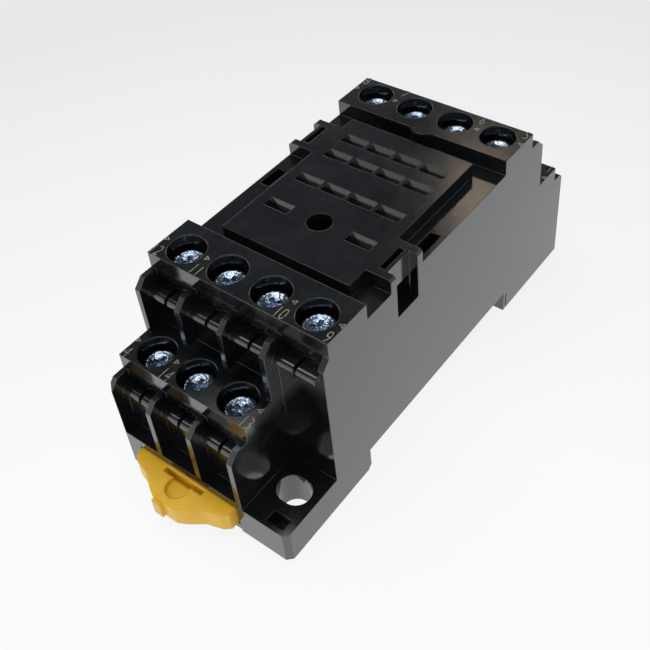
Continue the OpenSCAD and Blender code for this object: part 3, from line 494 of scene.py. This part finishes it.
# ---------------------------------------------------------------- terminal screws
# Cold-headed steel M3 screws, bright zinc plated, with a faint blue cast: a dished round head
# with a cross recess struck into it, and a rolled thread. One is made and copied.
screw_zinc = zinc("zinc-plated cold-headed steel", ("#9ab4d2", "#eef5fc"), (0.05, 0.16), 0.0, 0.1)
head_r, head_h = 2.25, 2.4
shank_r, shank_l = 1.5, 7.5
thread_pitch, thread_depth = 0.5, 0.22
point_l, neck_l = 0.2, 0.3
cross_l, cross_w, cross_h = 3.3, 0.9, 2.4
cross_up, cross_taper = 0.1, 0.5
stop_turn = 37
head_z = {UPPER: 22.4, LOWER: 10.75}

bpy.ops.object.select_all(action="DESELECT")
bpy.ops.mesh.primitive_circle_add(vertices=64, radius=shank_r * MM, fill_type="NGON",
                                  location=(0, 0, -shank_l * MM))
screw = bpy.context.object
screw.name = "screw_blank"
bpy.ops.object.transform_apply(location=True, rotation=False, scale=False)
bpy.ops.object.mode_set(mode="EDIT")
bpy.ops.mesh.select_all(action="SELECT")


def draw_up(rise, radius_from, radius_to):
    """Extrudes the selected round face up by rise and brings it to a new radius, in mm."""
    bpy.ops.mesh.extrude_region_move(TRANSFORM_OT_translate={"value": (0, 0, rise * MM)})
    ratio = radius_to / radius_from
    bpy.ops.transform.resize(value=(ratio, ratio, 1))


# the shank from its point up, with a ring for each turn of the thread and not its helix: flank,
# root, flank and crest, by share of the pitch and the radii it leads between
thread_root = shank_r - thread_depth
turn_steps = ((0.45, shank_r, thread_root), (0.1, thread_root, thread_root),
              (0.35, thread_root, shank_r), (0.1, shank_r, shank_r))
draw_up(point_l, shank_r, shank_r)
at = point_l
while at + thread_pitch < shank_l - neck_l:
    for share, radius_from, radius_to in turn_steps:
        draw_up(thread_pitch * share, radius_from, radius_to)
    at += thread_pitch
draw_up(shank_l - at, shank_r, shank_r)
# the head's underside, wall, rounded shoulder, flat rim and dished middle, by rise and radius
profile = ((0, head_r - 0.1), (0.1, head_r), (head_h - 0.45, head_r), (0.15, head_r - 0.04),
           (0.12, head_r - 0.14), (0.08, head_r - 0.3), (0, head_r - 0.5),
           (-0.06, 1.55), (-0.14, 1.35), (-0.1, 0.8))
radius = shank_r
for rise, new_radius in profile:
    draw_up(rise, radius, new_radius)
    radius = new_radius
bpy.ops.mesh.select_all(action="SELECT")
bpy.ops.mesh.remove_doubles(threshold=0.0001 * MM)
bpy.ops.mesh.normals_make_consistent(inside=False)
bpy.ops.object.mode_set(mode="OBJECT")

# the cross punch: two crossed wedges that narrow downwards
for quarter in (0, 1):
    bpy.ops.object.select_all(action="DESELECT")
    bpy.ops.mesh.primitive_cube_add(size=1, location=(0, 0, 0))
    wedge = bpy.context.object
    wedge.scale = (cross_l * MM, cross_w * MM, cross_h * MM)
    wedge.rotation_euler = (0, 0, math.radians(45 + 90 * quarter))
    wedge.location = (0, 0, (head_h + cross_up) * MM)
    bpy.ops.object.transform_apply(location=True, rotation=True, scale=True)
    bpy.ops.object.mode_set(mode="EDIT")
    bpy.ops.mesh.select_all(action="DESELECT")
    bpy.ops.object.mode_set(mode="OBJECT")
    for vertex in wedge.data.vertices:
        vertex.select = vertex.co.z < head_h * MM
    bpy.ops.object.mode_set(mode="EDIT")
    bpy.ops.transform.resize(value=(cross_taper, cross_taper, 1))
    bpy.ops.object.mode_set(mode="OBJECT")
    punch = screw.modifiers.new("cross_punch", "BOOLEAN")
    punch.operation = "DIFFERENCE"
    punch.solver = "EXACT"
    punch.object = wedge
    pick(screw)
    bpy.ops.object.modifier_apply(modifier=punch.name)
    bpy.data.objects.remove(wedge)
bpy.ops.object.shade_smooth_by_angle(angle=math.radians(40))
screw.data.materials.append(screw_zinc)

for n in numbers:
    deck, x, y = well_of(n)
    pick(screw)
    bpy.ops.object.duplicate()
    copy = bpy.context.object
    copy.name = f"cross_screw_{n}"
    copy.location = (x * MM, y * MM, head_z[deck] * MM)
    # no two screws stop at the same angle
    copy.rotation_euler = (0, 0, math.radians(stop_turn * n))
    bpy.ops.object.transform_apply(location=True, rotation=True, scale=True)
    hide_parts(f"terminal_screw_{n}")
    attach(copy, f"screw_{n}")
bpy.data.objects.remove(screw)
